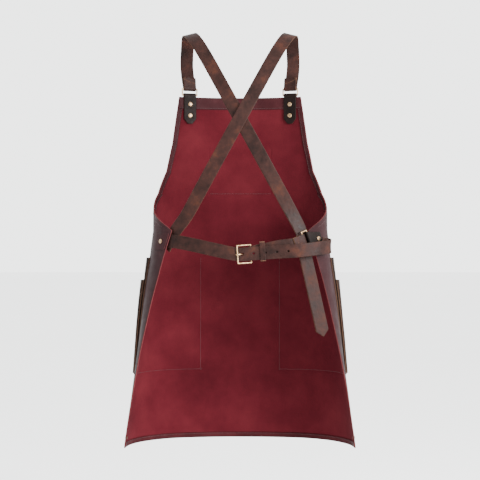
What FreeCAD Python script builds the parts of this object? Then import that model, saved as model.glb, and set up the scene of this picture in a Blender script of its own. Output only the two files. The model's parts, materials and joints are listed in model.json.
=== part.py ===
import FreeCAD, Part
import Sketcher
import math
import os

# A leather cross-back work apron in the shape it takes on a wearer. +Z is up, +Y is the wearer's front and
# the origin is the place where the shoulder straps rest, midway between the two shoulders.
# A size whose name ends in drop is a distance down from the shoulders.

os.makedirs("parts", exist_ok=True)
Vector = FreeCAD.Vector
UP = Vector(0, 0, 1)
doc = FreeCAD.newDocument("apron")

# ---------------------------------------------------------------- driving dimensions
SIZES = [
    # leather panel
    ("panel_thickness", 2.0), ("neck_drop", 132.0), ("bib_height", 314.0), ("skirt_height", 485.5),
    ("front_depth", 112.0), ("chest_radius", 330.0), ("chest_angle", 25.0), ("waist_half_width", 196.0),
    ("wrap_angle", 148.0), ("bib_edge_angle", 26.5), ("hem_radius", 600.0), ("hem_angle", 12.0),
    ("hem_half_width", 257.0), ("hem_wrap_angle", 90.0),
    # sewn bands and gaps between layers
    ("facing_thickness", 1.3), ("facing_width", 12.0), ("top_band_width", 28.0), ("layer_gap", 0.1),
    ("facing_gap", 0.25),
    # pockets
    ("pocket_thickness", 1.8), ("pocket_start", 91.0), ("pocket_width", 193.0),
    ("pocket_mouth_drop", 507.0), ("pocket_floor_drop", 773.0),
    ("tool_pocket_mouth_drop", 558.0), ("tool_pocket_inset", 26.0),
    ("pocket_edge_gap", 3.4), ("pocket_bulge", 6.0), ("chest_pocket_width", 146.0),
    ("chest_pocket_mouth_drop", 251.0), ("chest_pocket_floor_drop", 361.0),
    # straps
    ("strap_width", 30.0), ("strap_thickness", 2.8), ("strap_lap", 26.0), ("tail_length", 176.0),
    ("tail_point", 14.0), ("tail_drop", 508.5), ("tail_gap", 1.3),
    # rings
    ("ring_bar_radius", 1.5), ("ring_length", "=strap_width + 6"),
    ("ring_pitch", 14.6), ("strap_loop_gap", 0.9),
    # tabs and rivets
    ("tab_width", 30.0), ("tab_thickness", 2.5), ("tab_length", 67.0), ("tab_point", 13.0),
    ("tab_gap", 0.45), ("tab_across", 118.0), ("ring_rise", 4.5), ("rivet_first", 21.3),
    ("rivet_second", 47.7), ("rivet_shank", 1.6), ("rivet_cap", 5.0), ("rivet_crown", 1.3),
    ("hole_gap", 0.15), ("hip_tab_length", 32.0), ("hip_tab_drop", 464.0), ("hip_tab_height", 30.0),
    ("hip_rivet_inset", 20.0), ("hip_ring_length", "=strap_width + 9"), ("hip_patch_length", 39.0),
    ("hip_patch_height", 38.0), ("hip_patch_thickness", 1.5), ("hip_patch_drop", 470.0),
    ("hip_patch_inset", 4.0),
    ("left_hip_rivet_angle", 132.0), ("hem_rivet_rise", 22.0), ("hem_rivet_inset", 14.0),
    ("hem_rivet_cap", 3.6),
    # buckle, prong, keeper and belt
    ("buckle_bar_radius", 1.75), ("buckle_height", "=strap_width + 9"),
    ("buckle_pitch", 31.5), ("buckle_lean", 10.7),
    ("buckle_tilt", 4.0), ("heel_across", 24.0), ("heel_depth", -110.9), ("heel_drop", 497.0),
    ("heel_loop_gap", 0.35), ("belt_ride", 7.1), ("prong_radius", 1.2), ("prong_eye_gap", 0.1),
    ("prong_eye_width", 4.0), ("prong_slot", 6.0), ("hole_pitch", 25.5), ("hole_length", 5.6),
    ("hole_height", 3.8), ("prong_hole_length", 8.4), ("prong_hole_height", 4.6), ("keeper_across", 26.0),
    ("keeper_width", 12.0), ("keeper_thickness", 2.0), ("keeper_gap", 0.6), ("keeper_side_gap", 1.6),
    ("fan_rise", 2.0), ("fan_slope", 0.14), ("prong_hole_back", 19.6),
    ("prong_slot_length", 18.0), ("cap_gap", 0.5),
]
sheet = doc.addObject("Spreadsheet::Sheet", "dims")
for row, (alias, value) in enumerate(SIZES, start=1):
    sheet.set("A%d" % row, alias)
    sheet.set("B%d" % row, str(value))
    sheet.setAlias("B%d" % row, alias)
doc.recompute()


def size(alias):
    """The number in the sheet's cell of that name."""
    return float(sheet.get(alias))


THICK = size("panel_thickness")
BIB_TOP = -size("neck_drop")
WAIST = BIB_TOP - size("bib_height")
HEM = WAIST - size("skirt_height")
# The belt, the buckle and the straps' hip ends are laid out for a waist at this level, and move with it.
LAID_OUT_WAIST = -446.0
HIP_SHIFT = UP * (WAIST - LAID_OUT_WAIST)
LOW_BACK = -400.0


def hip_point(x, y, z):
    """A point near the hips, moved with the waist."""
    return Vector(x, y, z) + HIP_SHIFT


def with_waist(stations):
    """A back strap's stations, with the ones near the hips moved with the waist."""
    return [(place + HIP_SHIFT if place.z < LOW_BACK else place, facing) for place, facing in stations]


# The armhole's curve: share of the bib's height, and how much of the wrap is left there.
ARMHOLE = [(0.0, 1.0), (0.03, 0.93), (0.09, 0.76), (0.17, 0.52), (0.27, 0.33),
            (0.44, 0.17), (0.65, 0.086), (1.0, 0.0)]


def mix(low, high, share):
    """The value at that share of the way from low to high."""
    return low + (high - low) * share


def armhole_share(share):
    """How much of the wrap is left at that share of the bib's height."""
    for (below, wide), (above, narrow) in zip(ARMHOLE, ARMHOLE[1:]):
        if share <= above:
            return mix(wide, narrow, (share - below) / (above - below))
    return ARMHOLE[-1][1]


class Section:
    """The panel's inner face at one level: a front arc and two side arcs, tangent to each other."""

    def __init__(self, z):
        self.z = z
        down = min(max((WAIST - z) / (WAIST - HEM), 0.0), 1.0)
        self.radius = mix(size("chest_radius"), size("hem_radius"), down)
        self.angle = math.radians(mix(size("chest_angle"), size("hem_angle"), down))
        half_width = mix(size("waist_half_width"), size("hem_half_width"), down)
        reach = math.sin(self.angle)
        self.side_radius = (half_width - self.radius * reach) / (1 - reach)
        self.side_x = (self.radius - self.side_radius) * reach
        self.front_y = size("front_depth") - self.radius
        self.side_y = self.front_y + (self.radius - self.side_radius) * math.cos(self.angle)
        if z > WAIST:
            left = armhole_share((z - WAIST) / (BIB_TOP - WAIST))
            wrap = mix(size("bib_edge_angle"), size("wrap_angle"), left)
        else:
            wrap = mix(size("wrap_angle"), size("hem_wrap_angle"), 1.2 * down - 0.2 * down * down)
        self.wrap = math.radians(wrap)
        self.edge = self.length_at(self.wrap)

    def length_at(self, angle):
        """Distance along the face from the centre line to that angle."""
        return self.radius * min(angle, self.angle) + self.side_radius * max(angle - self.angle, 0.0)

    def angle_at(self, along):
        """The outward direction's angle from +Y at that distance from the centre line."""
        front = self.radius * self.angle
        if abs(along) <= front:
            return along / self.radius
        return math.copysign(self.angle + (abs(along) - front) / self.side_radius, along)

    def at_angle(self, angle, out):
        """The point that far outside the inner face, with the outward direction turned that far from +Y."""
        if abs(angle) <= self.angle:
            radius = self.radius + out
            return Vector(radius * math.sin(angle), self.front_y + radius * math.cos(angle), self.z)
        radius = self.side_radius + out
        side = math.copysign(self.side_x, angle)
        return Vector(side + radius * math.sin(angle), self.side_y + radius * math.cos(angle), self.z)

    def point(self, along, out):
        """The point at that distance from the centre line, and that far outside the inner face."""
        return self.at_angle(self.angle_at(along), out)

    def outward(self, along):
        """The outward direction there, level."""
        angle = self.angle_at(along)
        return Vector(math.sin(angle), math.cos(angle), 0)

    def normal(self, along):
        """The face's own normal there, which leans down or up where the panel flares."""
        angle = self.angle_at(along)
        rise = Section(self.z + 1).at_angle(angle, 0) - Section(self.z - 1).at_angle(angle, 0)
        level = self.outward(along)
        return (level * rise.z - UP * rise.dot(level)).normalize()


def spline(points):
    """A smooth edge through the points."""
    curve = Part.BSplineCurve()
    curve.interpolate(points)
    return curve.toShape()


def line(start, end):
    return Part.LineSegment(start, end).toShape()


def constant(value):
    """A distance that is the same all along."""
    return lambda along: value


def through(points, places):
    """A smooth curve that is at each point when its parameter is at the matching place."""
    curve = Part.BSplineCurve()
    curve.interpolate(Points=points, Parameters=places)
    return curve


def ruled_face(one, other, pattern):
    """A face straight across between two rows of poles that share the pattern curve's knots."""
    face = Part.BSplineSurface()
    face.buildFromPolesMultsKnots(
        [one, other], [2, 2], pattern.getMultiplicities(), [0.0, 1.0], pattern.getKnots(),
        False, False, 1, pattern.Degree)
    return face.toShape()


def closed_solid(faces):
    """The solid inside faces that meet edge to edge."""
    skin = Part.makeCompound(faces)
    skin.sewShape()
    solid = Part.makeSolid(skin.Shells[0])
    if solid.Volume < 0:
        solid.reverse()
    return solid


def curved_sheet(levels, start, end, inner, outer, count):
    """A solid sheet through the levels.

    start and end are functions of the section, and inner and outer are functions of the place along it.
    """
    places = [i / (count - 1) for i in range(count)]
    faces = []
    nets = []
    for out in (inner, outer):
        net = []
        for z in levels:
            section = Section(z)
            steps = [mix(start(section), end(section), place) for place in places]
            row = through([section.point(step, out(step)) for step in steps], places)
            net.append(row.getPoles())
        columns = [through([poles[i] for poles in net], levels) for i in range(len(net[0]))]
        column = columns[0]
        net = [one.getPoles() for one in columns]
        face = Part.BSplineSurface()
        face.buildFromPolesMultsKnots(
            net, row.getMultiplicities(), column.getMultiplicities(), row.getKnots(), column.getKnots(),
            False, False, row.Degree, column.Degree)
        faces.append(face.toShape())
        nets.append(net)
    for edge in (0, -1):
        faces.append(ruled_face(nets[0][edge], nets[1][edge], column))
        faces.append(ruled_face([poles[edge] for poles in nets[0]], [poles[edge] for poles in nets[1]], row))
    return closed_solid(faces)


def levels_between(low, high, count):
    return [mix(low, high, i / (count - 1)) for i in range(count)]


pieces = {}


def add_feature(label, shape):
    """One node that holds the given shape."""
    feature = doc.addObject("Part::Feature", label)
    feature.Shape = shape
    feature.Placement = FreeCAD.Placement()
    feature.Label = label
    pieces[label] = feature
    return feature


def cylinder_between(start, end, radius):
    axis = end - start
    return Part.makeCylinder(radius, axis.Length, start, axis)


# ---------------------------------------------------------------- ribbons
def ribbon(stations, width, thickness, steps=4):
    """A flat strap through stations of (point, direction across); its section stays a rectangle."""
    points = [point for point, across in stations]
    places = [0.0]
    for before, after in zip(points, points[1:]):
        places.append(places[-1] + (after - before).Length)
    path = through(points, places)
    samples = []
    directions = []
    for i in range(len(places) - 1):
        for step in range(steps):
            samples.append(mix(places[i], places[i + 1], step / steps))
            directions.append(mix(stations[i][1], stations[i + 1][1], step / steps))
    samples.append(places[-1])
    directions.append(stations[-1][1])
    corners = [[], [], [], []]
    for place, across in zip(samples, directions):
        ahead = Vector(*path.tangent(place)[0])
        across = (across - ahead * across.dot(ahead)).normalize() * (width / 2)
        face = ahead.cross(across).normalize() * (thickness / 2)
        middle = path.value(place)
        low = middle - face
        high = middle + face
        section = (low - across, low + across, high + across, high - across)
        for corner, place_of_corner in zip(corners, section):
            corner.append(place_of_corner)
    rails = [through(corner, samples) for corner in corners]
    faces = []
    for rail, neighbour in zip(rails, rails[1:] + rails[:1]):
        faces.append(ruled_face(rail.getPoles(), neighbour.getPoles(), rail))
    for end in (0, -1):
        outline = [corner[end] for corner in corners]
        faces.append(Part.Face(Part.makePolygon(outline + outline[:1])))
    return closed_solid(faces)


def facing_run(points, facings):
    """Stations of a strap whose outer face points along the given directions."""
    stations = []
    for i, (point, facing) in enumerate(zip(points, facings)):
        before = points[max(i - 1, 0)]
        after = points[min(i + 1, len(points) - 1)]
        stations.append((point, (after - before).normalize().cross(facing).normalize()))
    return stations


def loop_stations(centre, toward, outer, across, radius, lap, lap_shift):
    """A strap's end folded round a bar: from the lap's free end, round the bar, to where the main run starts.

    toward points from the bar to the strap's main run, and outer to the side that the lap lies on.
    """
    stations = []
    for share in (1.0, 0.6, 0.25):
        shift = radius - lap_shift * share
        stations.append((centre + toward * (lap * share) + outer * shift, across))
    for i in range(7):
        turn = math.pi * i / 6
        round_bar = outer * (radius * math.cos(turn)) - toward * (radius * math.sin(turn))
        stations.append((centre + round_bar, across))
    return stations


# ---------------------------------------------------------------- panel and its sewn bands
SKIRT_LEVELS = levels_between(HEM, WAIST, 15)
LEVELS_PER_STEP = 3
BIB_LEVELS = [WAIST]
for (below, wide), (above, narrow) in zip(ARMHOLE, ARMHOLE[1:]):
    for step in range(1, LEVELS_PER_STEP + 1):
        BIB_LEVELS.append(mix(WAIST, BIB_TOP, mix(below, above, step / LEVELS_PER_STEP)))
PANEL_POINTS = 31


def left_edge(section):
    return -section.edge


def right_edge(section):
    return section.edge


skirt = curved_sheet(SKIRT_LEVELS, left_edge, right_edge, constant(0), constant(THICK), PANEL_POINTS)
bib = curved_sheet(BIB_LEVELS, left_edge, right_edge, constant(0), constant(THICK), PANEL_POINTS)
panel = skirt.fuse(bib)

GAP = size("layer_gap")
FACING_GAP = size("facing_gap")
BAND_INNER = -FACING_GAP - size("facing_thickness")
BAND = size("facing_width")
top_band_low = BIB_TOP - size("top_band_width")


def band(levels, start, end, count):
    return curved_sheet(levels, start, end, constant(BAND_INNER), constant(-FACING_GAP), count)


top_facing = band(levels_between(top_band_low, BIB_TOP, 3), left_edge, right_edge, 13)
bottom_facing = band(levels_between(HEM, HEM + BAND, 3), left_edge, right_edge, PANEL_POINTS)


def side_band_width(section):
    """Width of the side band along the level, so that it keeps its width across a slanting edge."""
    step = 1.0
    slope = (Section(section.z - step).edge - Section(section.z + step).edge) / (2 * step)
    return BAND * math.hypot(1, slope)


side_top = top_band_low - 2 * GAP
side_levels = [z for z in BIB_LEVELS[1:] if z < side_top - BAND / 2] + [side_top]
side_facing = {
    "right": band(side_levels, lambda s: s.edge - side_band_width(s), right_edge, 7),
    "left": band(side_levels, left_edge, lambda s: side_band_width(s) - s.edge, 7),
}


# ---------------------------------------------------------------- pockets
def pocket_shape(low, high, start, end, base, gap):
    """A sewn pocket: a front sheet that bulges, two side walls and a floor, open at the top and the back."""
    wall = size("pocket_thickness")

    def bulge(along):
        return base(along) + gap(along)

    def front(along):
        return base(along) + gap(along) + wall

    def back(along):
        return base(along) - wall

    levels = levels_between(low, high, 4)
    block = curved_sheet(levels, lambda s: start, lambda s: end, base, front, 15)
    hollow_levels = levels_between(low + wall, high + wall, 4)
    hollow = curved_sheet(hollow_levels, lambda s: start + wall, lambda s: end - wall, back, bulge, 15)
    return block.cut(hollow)


def bulge_between(start, end):
    """A gap that is widest midway and narrow at the sewn sides."""
    edge = size("pocket_edge_gap")
    high = size("pocket_bulge")
    return lambda along: edge + high * math.sin(math.pi * min(max((along - start) / (end - start), 0), 1))


pocket_low = -size("pocket_floor_drop")
pocket_shapes = {}
for side, sign in (("left", -1), ("right", 1)):
    ends = sorted((sign * size("pocket_start"), sign * (size("pocket_start") + size("pocket_width"))))
    base = constant(THICK + GAP)
    gap = bulge_between(*ends)
    high = -size("pocket_mouth_drop")
    pocket_shapes[side + "_hand_pocket"] = pocket_shape(pocket_low, high, ends[0], ends[1], base, gap)

    def tool_base(along, gap=gap):
        return THICK + 2 * GAP + gap(along) + size("pocket_thickness")

    near = size("pocket_start") + size("tool_pocket_inset")
    far = size("pocket_start") + size("pocket_width") - 1
    tool_ends = sorted((sign * near, sign * far))
    high = -size("tool_pocket_mouth_drop")
    pocket_shapes[side + "_tool_pocket"] = pocket_shape(
        pocket_low, high, tool_ends[0], tool_ends[1], tool_base, bulge_between(*tool_ends))

half = size("chest_pocket_width") / 2
pocket_shapes["chest_pocket"] = pocket_shape(
    -size("chest_pocket_floor_drop"), -size("chest_pocket_mouth_drop"), -half, half,
    constant(THICK + GAP), bulge_between(-half, half))


# ---------------------------------------------------------------- rings and the buckle frame
def bar_frame(label, length, pitch, radius, placement):
    """A rectangular frame of round bar, centred on its first long bar; the second is pitch above it."""
    parts = []
    for name, rise in (("low", "0"), ("high", "dims.%s" % pitch)):
        bar = doc.addObject("Part::Cylinder", "%s_%s_bar" % (label, name))
        bar.setExpression("Radius", "dims.%s" % radius)
        bar.setExpression("Height", "dims.%s" % length)
        bar.setExpression("Placement.Base.x", "-dims.%s / 2" % length)
        bar.setExpression("Placement.Base.z", rise)
        bar.setExpression("Placement.Rotation.Angle", "90")
        bar.Placement.Rotation = FreeCAD.Rotation(Vector(0, 1, 0), 90)
        parts.append(bar)
    for name, sign in (("left", "-"), ("right", "")):
        post = doc.addObject("Part::Cylinder", "%s_%s_post" % (label, name))
        post.setExpression("Radius", "dims.%s" % radius)
        post.setExpression("Height", "dims.%s" % pitch)
        post.setExpression("Placement.Base.x", "%sdims.%s / 2" % (sign, length))
        parts.append(post)
        for end, rise in (("low", "0"), ("high", "dims.%s" % pitch)):
            ball = doc.addObject("Part::Sphere", "%s_%s_%s_corner" % (label, name, end))
            ball.setExpression("Radius", "dims.%s" % radius)
            ball.setExpression("Placement.Base.x", "%sdims.%s / 2" % (sign, length))
            ball.setExpression("Placement.Base.z", rise)
            parts.append(ball)
    frame = doc.addObject("Part::MultiFuse", label)
    frame.Shapes = parts
    frame.Placement = placement
    frame.Label = label
    pieces[label] = frame
    return frame


def axes_placement(origin, x_axis, z_axis):
    """A placement whose local X and Z point along the given directions."""
    x_axis = Vector(x_axis).normalize()
    y_axis = Vector(z_axis).cross(x_axis).normalize()
    z_axis = x_axis.cross(y_axis)
    return FreeCAD.Placement(origin, FreeCAD.Rotation(x_axis, y_axis, z_axis, "XYZ"))


# ---------------------------------------------------------------- rivets
def rivet(middle, axis, grip, cap="rivet_cap"):
    """A capped rivet: its shank through the layers and a crowned cap at each end."""
    axis = Vector(axis).normalize()
    shape = cylinder_between(middle - axis * (grip / 2), middle + axis * (grip / 2), size("rivet_shank"))
    crown = size("rivet_crown")
    for sign in (-1, 1):
        seat = middle + axis * (sign * grip / 2)
        rim = Part.makeCylinder(size(cap), crown / 2, seat, axis * sign)
        crest = seat + axis * (sign * crown / 2)
        dome = Part.makeCone(size(cap), size(cap) / 2, crown / 2, crest, axis * sign)
        shape = shape.fuse(rim.fuse(dome))
    return shape


PUNCH_SIDES = 16


def rivet_hole(middle, axis, reach):
    """A many-sided punch for a rivet's shank, whose flats stand clear of it by the hole's gap."""
    axis = Vector(axis).normalize()
    side = axis.cross(UP).normalize()
    other = axis.cross(side)
    radius = (size("rivet_shank") + size("hole_gap")) / math.cos(math.pi / PUNCH_SIDES)
    corners = []
    for i in range(PUNCH_SIDES):
        turn = 2 * math.pi * i / PUNCH_SIDES
        corners.append(middle - axis * reach + (side * math.cos(turn) + other * math.sin(turn)) * radius)
    return Part.Face(Part.makePolygon(corners + corners[:1])).extrude(axis * (2 * reach))


# ---------------------------------------------------------------- bib tabs
# A tab is folded round its ring's lower bar, with one leaf inside the bib and one outside.
TAB_BACK = size("facing_thickness") + FACING_GAP + size("tab_gap")
TAB_FRONT = THICK + size("tab_gap")
TAB_HALF = (TAB_BACK + TAB_FRONT) / 2
TAB_OUT = (TAB_FRONT - TAB_BACK) / 2
sheet.set("A%d" % (len(SIZES) + 1), "tab_inner_radius")
sheet.set("B%d" % (len(SIZES) + 1), str(TAB_HALF))
sheet.setAlias("B%d" % (len(SIZES) + 1), "tab_inner_radius")
doc.recompute()
BAR_LEVEL = BIB_TOP + size("ring_rise")
RING_PITCH = size("ring_pitch")
STRAP_THICK = size("strap_thickness")
STRAP_WIDTH = size("strap_width")


def body_sketch(body, name, role):
    """A sketch on one of the body's own origin planes."""
    sketch = body.newObject("Sketcher::SketchObject", name)
    plane = [item for item in body.Origin.OriginFeatures if item.Role == role][0]
    sketch.AttachmentSupport = [(plane, "")]
    sketch.MapMode = "FlatFace"
    return sketch


def bind(sketch, constraint, expression):
    """Add a dimension to the sketch and tie it to the sheet."""
    index = sketch.addConstraint(constraint)
    sketch.setExpression("Constraints[%d]" % index, expression)


def closed_outline(sketch, corners):
    """Straight lines through the corners; each corner is (x, x expression, y, y expression)."""
    first = sketch.GeometryCount
    for here, there in zip(corners, corners[1:] + corners[:1]):
        sketch.addGeometry(Part.LineSegment(Vector(here[0], here[2], 0), Vector(there[0], there[2], 0)))
    for i, (x, x_text, y, y_text) in enumerate(corners):
        after = first + (i + 1) % len(corners)
        sketch.addConstraint(Sketcher.Constraint("Coincident", first + i, 2, after, 1))
        for kind, value, text in (("DistanceX", x, x_text), ("DistanceY", y, y_text)):
            bind(sketch, Sketcher.Constraint(kind, -1, 1, first + i, 1, value), text)


def bib_tab(label, placement):
    """A folded tab: its side outline is a U, drawn round the ring's bar; its end is cut to a blunt point."""
    body = doc.addObject("PartDesign::Body", label)
    side = body_sketch(body, label + "_side", "YZ_Plane")
    inner = TAB_HALF
    outer = TAB_HALF + size("tab_thickness")
    low = -size("tab_length")
    axis = Vector(0, 0, 1)
    centre = Vector(0, 0, 0)
    side.addGeometry(Part.ArcOfCircle(Part.Circle(centre, axis, outer), 0, math.pi))
    side.addGeometry(Part.LineSegment(Vector(-outer, 0, 0), Vector(-outer, low, 0)))
    side.addGeometry(Part.LineSegment(Vector(-outer, low, 0), Vector(-inner, low, 0)))
    side.addGeometry(Part.LineSegment(Vector(-inner, low, 0), Vector(-inner, 0, 0)))
    side.addGeometry(Part.ArcOfCircle(Part.Circle(centre, axis, inner), 0, math.pi))
    side.addGeometry(Part.LineSegment(Vector(inner, 0, 0), Vector(inner, low, 0)))
    side.addGeometry(Part.LineSegment(Vector(inner, low, 0), Vector(outer, low, 0)))
    side.addGeometry(Part.LineSegment(Vector(outer, low, 0), Vector(outer, 0, 0)))
    for first, first_end, second, second_end in (
            (0, 2, 1, 1), (1, 2, 2, 1), (2, 2, 3, 1), (3, 2, 4, 2),
            (4, 1, 5, 1), (5, 2, 6, 1), (6, 2, 7, 1), (7, 2, 0, 1)):
        side.addConstraint(Sketcher.Constraint("Coincident", first, first_end, second, second_end))
    for arc in (0, 4):
        side.addConstraint(Sketcher.Constraint("Coincident", arc, 3, -1, 1))
        side.addConstraint(Sketcher.Constraint("PointOnObject", arc, 1, -1))
        side.addConstraint(Sketcher.Constraint("PointOnObject", arc, 2, -1))
    for upright in (1, 3, 5, 7):
        side.addConstraint(Sketcher.Constraint("Vertical", upright))
    for level in (2, 6):
        side.addConstraint(Sketcher.Constraint("Horizontal", level))
    bind(side, Sketcher.Constraint("Radius", 4, inner), "dims.tab_inner_radius")
    bind(side, Sketcher.Constraint("Radius", 0, outer), "dims.tab_inner_radius + dims.tab_thickness")
    for leaf in (2, 6):
        bind(side, Sketcher.Constraint("DistanceY", leaf, 1, -1, 1, -low), "dims.tab_length")
    fold = body.newObject("PartDesign::Pad", label + "_fold")
    fold.Profile = side
    fold.setExpression("Length", "dims.tab_width")
    fold.Midplane = True

    front = body_sketch(body, label + "_end", "XZ_Plane")
    half = size("tab_width") / 2
    shoulder = low + size("tab_point")
    for sign, mark in ((-1, "-"), (1, "")):
        closed_outline(front, [
            (sign * (half + 1), mark + "(dims.tab_width / 2 + 1)",
             shoulder, "-dims.tab_length + dims.tab_point"),
            (sign * (half + 1), mark + "(dims.tab_width / 2 + 1)", low - 1, "-dims.tab_length - 1"),
            (sign * half / 3, mark + "dims.tab_width / 6", low - 1, "-dims.tab_length - 1"),
        ])
    trim = body.newObject("PartDesign::Pocket", label + "_point")
    trim.Profile = front
    trim.Type = 1
    trim.Midplane = True

    holes = body_sketch(body, label + "_holes", "XZ_Plane")
    for drop in ("rivet_first", "rivet_second"):
        hole_radius = size("rivet_shank") + size("hole_gap")
        hole = holes.addGeometry(Part.Circle(Vector(0, -size(drop), 0), axis, hole_radius))
        holes.addConstraint(Sketcher.Constraint("PointOnObject", hole, 3, -2))
        bind(holes, Sketcher.Constraint("DistanceY", hole, 3, -1, 1, size(drop)), "dims." + drop)
        bind(holes, Sketcher.Constraint("Radius", hole, 1.75), "dims.rivet_shank + dims.hole_gap")
    punch = body.newObject("PartDesign::Pocket", label + "_punch")
    punch.Profile = holes
    punch.Type = 1
    punch.Midplane = True
    body.Tip = punch
    body.Placement = placement
    body.Label = label
    pieces[label] = body
    return body


top_section = Section(BIB_TOP)
shoulder_straps = {}
tab_rivets = {}
panel_holes = []
loop_radius = size("ring_bar_radius") + size("strap_loop_gap") + STRAP_THICK / 2
lap_shift = 2 * loop_radius - STRAP_THICK - 0.5
strap_starts = {}
for side, sign in (("left", -1), ("right", 1)):
    angle = sign * math.asin(size("tab_across") / top_section.radius)
    outward = Vector(math.sin(angle), math.cos(angle), 0)
    bar = top_section.at_angle(angle, TAB_OUT)
    bar.z = BAR_LEVEL
    across = outward.cross(UP)
    bib_tab(side + "_bib_tab", axes_placement(bar, across, UP))
    ring_placement = axes_placement(bar, across, UP)
    bar_frame(side + "_bib_ring", "ring_length", "ring_pitch", "ring_bar_radius", ring_placement)
    grip = 2 * (TAB_HALF + size("tab_thickness") + GAP)
    studs = []
    for drop in ("rivet_first", "rivet_second"):
        middle = bar - UP * size(drop)
        studs.append(rivet(middle, outward, grip))
        panel_holes.append(rivet_hole(middle, outward, grip))
    tab_rivets[side] = Part.makeCompound(studs)
    upper_bar = bar + UP * RING_PITCH
    strap_starts[side] = loop_stations(
        upper_bar, UP, outward * -1, UP.cross(outward), loop_radius, size("strap_lap"), lap_shift)


# ---------------------------------------------------------------- shoulder straps
# Each runs from its ring over the shoulder, down across the back and to the other side's hip.
REST = STRAP_THICK / 2
OVER_SHOULDER = [
    (Vector(-124, 84, -72), Vector(0, 1, 0.1)),
    (Vector(-123, 62, -32), Vector(-0.08, 0.85, 0.5)),
    (Vector(-120.5, 34, -9), Vector(-0.17, 0.45, 0.87)),
    (Vector(-117, 8, REST), Vector(-0.25, 0, 0.97)),
    (Vector(-106, -18, -8), Vector(-0.25, -0.45, 0.8)),
    (Vector(-92, -37, -29), Vector(-0.12, -0.8, 0.5)),
]
TAIL_RUN = Vector(38.6, 0, -172).normalize()
LEFT_END = Vector(146.7, -88, -size("tail_drop"))
END_FACING = Vector(0.3, -0.954, 0)
LEFT_BACK = [
    (Vector(-81, -49, -48), Vector(-0.05, -0.95, 0.25)),
    (Vector(-46.9, -75, -111), Vector(0, -1, 0.1)),
    (Vector(-1.8, -94, -194.4), Vector(0, -1, 0)),
    (Vector(50.8, -98, -290.5), Vector(0.05, -1, 0)),
    (Vector(99, -96.5, -379), Vector(0.15, -0.98, 0)),
    (Vector(123, -93, -423), Vector(0.35, -0.93, 0)),
    (Vector(138.5, -88.5, -460), Vector(0.5, -0.86, 0)),
    (Vector(141.2, -86.5, -484), Vector(0.45, -0.89, 0)),
    (LEFT_END - TAIL_RUN * 8, END_FACING),
    (LEFT_END, END_FACING),
]
waist_section = Section(WAIST)
HIP_STRAP_OUT = -6.4
RIGHT_BACK = [
    (Vector(81, -50, -48), Vector(0.05, -0.95, 0.25)),
    (Vector(46.9, -79, -111), Vector(0, -1, 0.1)),
    (Vector(1.8, -99.6, -194.4), Vector(0, -1, 0)),
    (Vector(-50.8, -102, -290.5), Vector(-0.05, -1, 0)),
    (Vector(-99, -98.5, -379), Vector(-0.15, -0.98, 0)),
    (Vector(-125, -92.8, -423), Vector(-0.35, -0.93, 0)),
]
for angle, level in ((-151, -446), (-141, -468), (-133, -486)):
    place = waist_section.at_angle(math.radians(angle), HIP_STRAP_OUT)
    place.z = level
    RIGHT_BACK.append((place, Vector(math.sin(math.radians(angle)), math.cos(math.radians(angle)), 0)))


def mirrored(stations):
    return [(Vector(-p.x, p.y, p.z), Vector(-f.x, f.y, f.z)) for p, f in stations]


def strap_from_ring(start, run):
    """A shoulder strap: the folded end at the ring, then the run of (point, facing)."""
    joined = facing_run([start[-1][0]] + [p for p, f in run], [Vector(0, 1, 0)] + [f for p, f in run])[1:]
    return ribbon(start + joined, STRAP_WIDTH, STRAP_THICK)


shoulder_straps["left"] = strap_from_ring(strap_starts["left"], OVER_SHOULDER + with_waist(LEFT_BACK))
right_run = mirrored(OVER_SHOULDER) + with_waist(RIGHT_BACK)
shoulder_straps["right"] = strap_from_ring(strap_starts["right"], right_run)


# ---------------------------------------------------------------- the strap's free tail
# Its top edge lies along the strap's cut end, a small gap below it.
tail_top = LEFT_END + HIP_SHIFT + TAIL_RUN * size("tail_gap")
tail = doc.addObject("PartDesign::Body", "strap_tail")
tail_sketch = body_sketch(tail, "strap_tail_outline", "XZ_Plane")
half = STRAP_WIDTH / 2
length = size("tail_length")
point = size("tail_point")
closed_outline(tail_sketch, [
    (-half, "-dims.strap_width / 2", 0, "0"),
    (-half, "-dims.strap_width / 2", point - length, "dims.tail_point - dims.tail_length"),
    (0, "0", -length, "-dims.tail_length"),
    (half, "dims.strap_width / 2", point - length, "dims.tail_point - dims.tail_length"),
    (half, "dims.strap_width / 2", 0, "0"),
])
tail_pad = tail.newObject("PartDesign::Pad", "strap_tail_leather")
tail_pad.Profile = tail_sketch
tail_pad.setExpression("Length", "dims.strap_thickness")
tail_pad.Midplane = True
tail.Tip = tail_pad
tail.Placement = axes_placement(tail_top, (END_FACING * -1).cross(TAIL_RUN * -1), TAIL_RUN * -1)
tail.Label = "strap_tail"
pieces["strap_tail"] = tail


# ---------------------------------------------------------------- right hip: tab, ring and rivet
hip_level = HIP_SHIFT.z - size("hip_tab_drop")
LEAF_POINTS = 8


class HipEdge:
    """The right wing's edge at one level, run on straight past the edge to the ring's bar."""

    def __init__(self, z):
        self.section = Section(z)
        edge = self.section.edge
        self.outward = self.section.outward(edge)
        self.ahead = Vector(self.outward.y, -self.outward.x, 0)
        self.last = edge + size("ring_rise")

    def point(self, along, out):
        over = max(along - self.section.edge, 0.0)
        return self.section.point(along - over, out) + self.ahead * over

    def face(self, out):
        first = self.section.edge - size("hip_tab_length")
        return [self.point(mix(first, self.last, i / (LEAF_POINTS - 1)), out) for i in range(LEAF_POINTS)]

    def bar(self):
        return self.point(self.last, TAB_OUT)

    def arc(self, radius):
        centre = self.bar()
        ends = (centre + self.outward * radius, centre - self.outward * radius)
        return Part.Arc(ends[0], centre + self.ahead * radius, ends[1]).toShape()


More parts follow.
